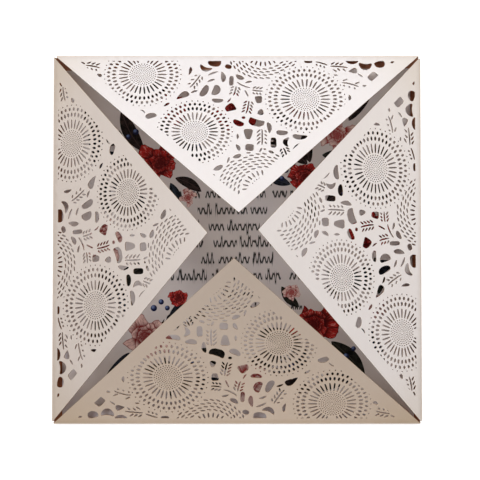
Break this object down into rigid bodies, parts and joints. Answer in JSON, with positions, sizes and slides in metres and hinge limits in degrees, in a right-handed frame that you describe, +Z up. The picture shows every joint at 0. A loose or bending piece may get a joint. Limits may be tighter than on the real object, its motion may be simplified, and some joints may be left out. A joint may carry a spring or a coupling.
{
  "type": "laser-cut wedding card",
  "caption": "Square wedding card: a pearl card wrapper whose corners fold in as lace-cut flaps over a loose printed insert card",
  "frame": {"origin": "middle of the outer face of the back panel, on which the card lies", "axes": "+Z up out of the back panel, +Y towards the top of the card, +X towards its right side"},
  "size_m": [0.15, 0.15, 0.0406],
  "materials": {
    "pearl_card": "pearl",
    "printed_card": "matte"
  },
  "bodies": {
    "root": {"wrapper": "pearl_card", "insert_card": "printed_card"}
  },
  "joints": []
}
